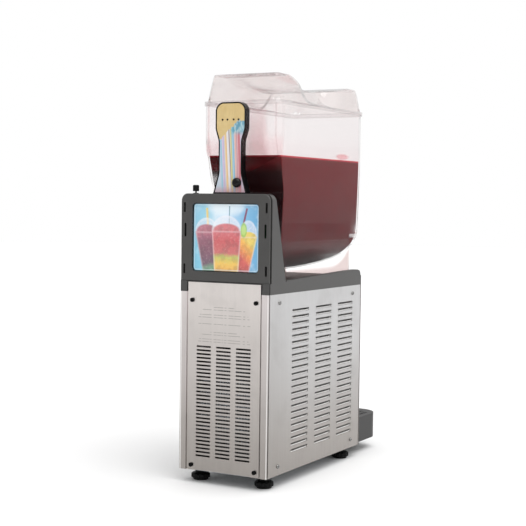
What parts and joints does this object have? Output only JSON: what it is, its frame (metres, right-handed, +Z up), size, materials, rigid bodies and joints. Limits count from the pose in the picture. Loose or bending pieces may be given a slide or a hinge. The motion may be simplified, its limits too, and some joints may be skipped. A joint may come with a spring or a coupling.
{
  "type": "slush machine",
  "caption": "Countertop slush dispenser: louvred steel cabinet with a cooling plant, lit sign head, control paddle, clear lidded bowl on an auger drum, tap and drip tray.",
  "frame": {"origin": "under the middle of the whole machine's box, on the surface that it stands on", "axes": "+X across the machine, +Y to the rear, -Y to the front with the tap, +Z up"},
  "size_m": [0.2048, 0.5652, 0.811],
  "materials": {
    "aluminium": "bare fins",
    "black_gloss": "polished",
    "black_plastic": "satin",
    "black_screw": "black oxide",
    "brass": "turned",
    "brushed_steel": "fine vertical brushing",
    "circuit_board": "solder mask",
    "clear_plastic": "clear polycarbonate",
    "compressor_black": "gloss black enamel",
    "copper": "drawn copper",
    "galvanised": "plain galvanised sheet",
    "grey_plastic": "fine moulded grain",
    "lamp": "dark lamp lens",
    "lens_plastic": "clear acrylic",
    "paddle_print": "printed film under a clear coat",
    "rubber": "moulded",
    "screw_steel": "bright zinc",
    "seal_rubber": "food-grade silicone",
    "sign_picture": "printed translucent film",
    "slush": "wet frozen drink, dark red",
    "spring_steel": "drawn wire",
    "stainless": "polished",
    "white_plastic": "satin"
  },
  "bodies": {
    "cabinet": {"base_pan": "galvanised", "corner_posts": "brushed_steel", "left_side_panel": "brushed_steel", "right_side_panel": "brushed_steel", "rear_panel": "brushed_steel", "front_panel": "brushed_steel", "side_panel_screws": "screw_steel", "rear_panel_screws": "black_screw", "front_panel_screws": "screw_steel", "feet": "rubber", "foot_studs": "screw_steel", "cable_gland": "black_plastic", "compressor": "compressor_black", "compressor_grommets": "rubber", "terminal_box": "black_plastic", "condenser": "aluminium", "fan_shroud": "galvanised", "fan_motor": "compressor_black", "filter_drier": "copper", "refrigerant_pipes": "copper", "deck": "grey_plastic", "head_housing": "grey_plastic", "sign_bezel": "grey_plastic", "sign_lens": "lens_plastic", "sign_print": "sign_picture", "sign_light_board": "circuit_board", "gearbox": "aluminium", "gear_motor": "galvanised", "adjuster_bush": "brass", "paddle_body": "black_gloss", "paddle_face": "paddle_print", "control_board": "circuit_board", "indicator_lamps": "lamp", "drum_neck": "grey_plastic", "evaporator_drum": "stainless", "evaporator_coil": "copper", "shaft_bushes": "white_plastic", "shaft_seal": "seal_rubber", "bowl": "clear_plastic", "bowl_gasket": "seal_rubber", "slush": "slush", "tap_body": "black_plastic", "lever_pin": "stainless", "tray_bracket": "stainless", "tap_spring": "spring_steel"},
    "auger": {"auger": "white_plastic", "drive_shaft": "stainless"},
    "fan": {"fan_blade": "black_plastic"},
    "lid": {"lid": "clear_plastic"},
    "drip_tray": {"drip_tray": "grey_plastic"},
    "drip_grid": {"drip_grid": "grey_plastic"},
    "tap_lever": {"tap_lever": "black_gloss"},
    "tap_piston": {"tap_piston": "white_plastic", "piston_seals": "rubber"},
    "selector": {"selector_knob": "black_gloss", "selector_spindle": "stainless"},
    "adjuster": {"adjuster_knob": "black_plastic", "adjuster_screw": "brass"}
  },
  "joints": [
    {"name": "auger_spin", "type": "hinge", "parent": "cabinet", "child": "auger", "pos_m": [0, 0.06945, 0.497], "axis": [0, 1, 0], "continuous": true},
    {"name": "fan_spin", "type": "hinge", "parent": "cabinet", "child": "fan", "pos_m": [0, 0.18045, 0.15], "axis": [0, 1, 0], "continuous": true},
    {"name": "lid_lift", "type": "slide", "parent": "cabinet", "child": "lid", "axis": [0, 0, 1], "range_m": [0, 0.15]},
    {"name": "drip_tray_pull", "type": "slide", "parent": "cabinet", "child": "drip_tray", "axis": [0, -1, 0], "range_m": [0, 0.1]},
    {"name": "drip_grid_lift", "type": "slide", "parent": "drip_tray", "child": "drip_grid", "axis": [0, 0, 1], "range_m": [0, 0.06]},
    {"name": "tap_lever_pull", "type": "hinge", "parent": "cabinet", "child": "tap_lever", "pos_m": [0, -0.22255, 0.552], "axis": [1, 0, 0], "range_deg": [0, 30], "stiffness_Nm_per_rad": 0.6, "springref_deg": -20.05},
    {"name": "tap_piston_lift", "type": "slide", "parent": "cabinet", "child": "tap_piston", "axis": [0, 0, 1], "range_m": [0, 0.0136], "deforming": ["tap_spring"]},
    {"name": "selector_turn", "type": "hinge", "parent": "cabinet", "child": "selector", "pos_m": [-0.0164, 0.26445, 0.5945], "axis": [0, 1, 0], "range_deg": [-135, 135]},
    {"name": "adjuster_turn", "type": "hinge", "parent": "cabinet", "child": "adjuster", "pos_m": [0.077, 0.26245, 0.58], "axis": [0, 0, 1], "range_deg": [-180, 180]}
  ],
  "couplings": [
    {"joint": "tap_piston_lift", "follows": "tap_lever_pull", "m_per_rad": 0.0255}
  ]
}
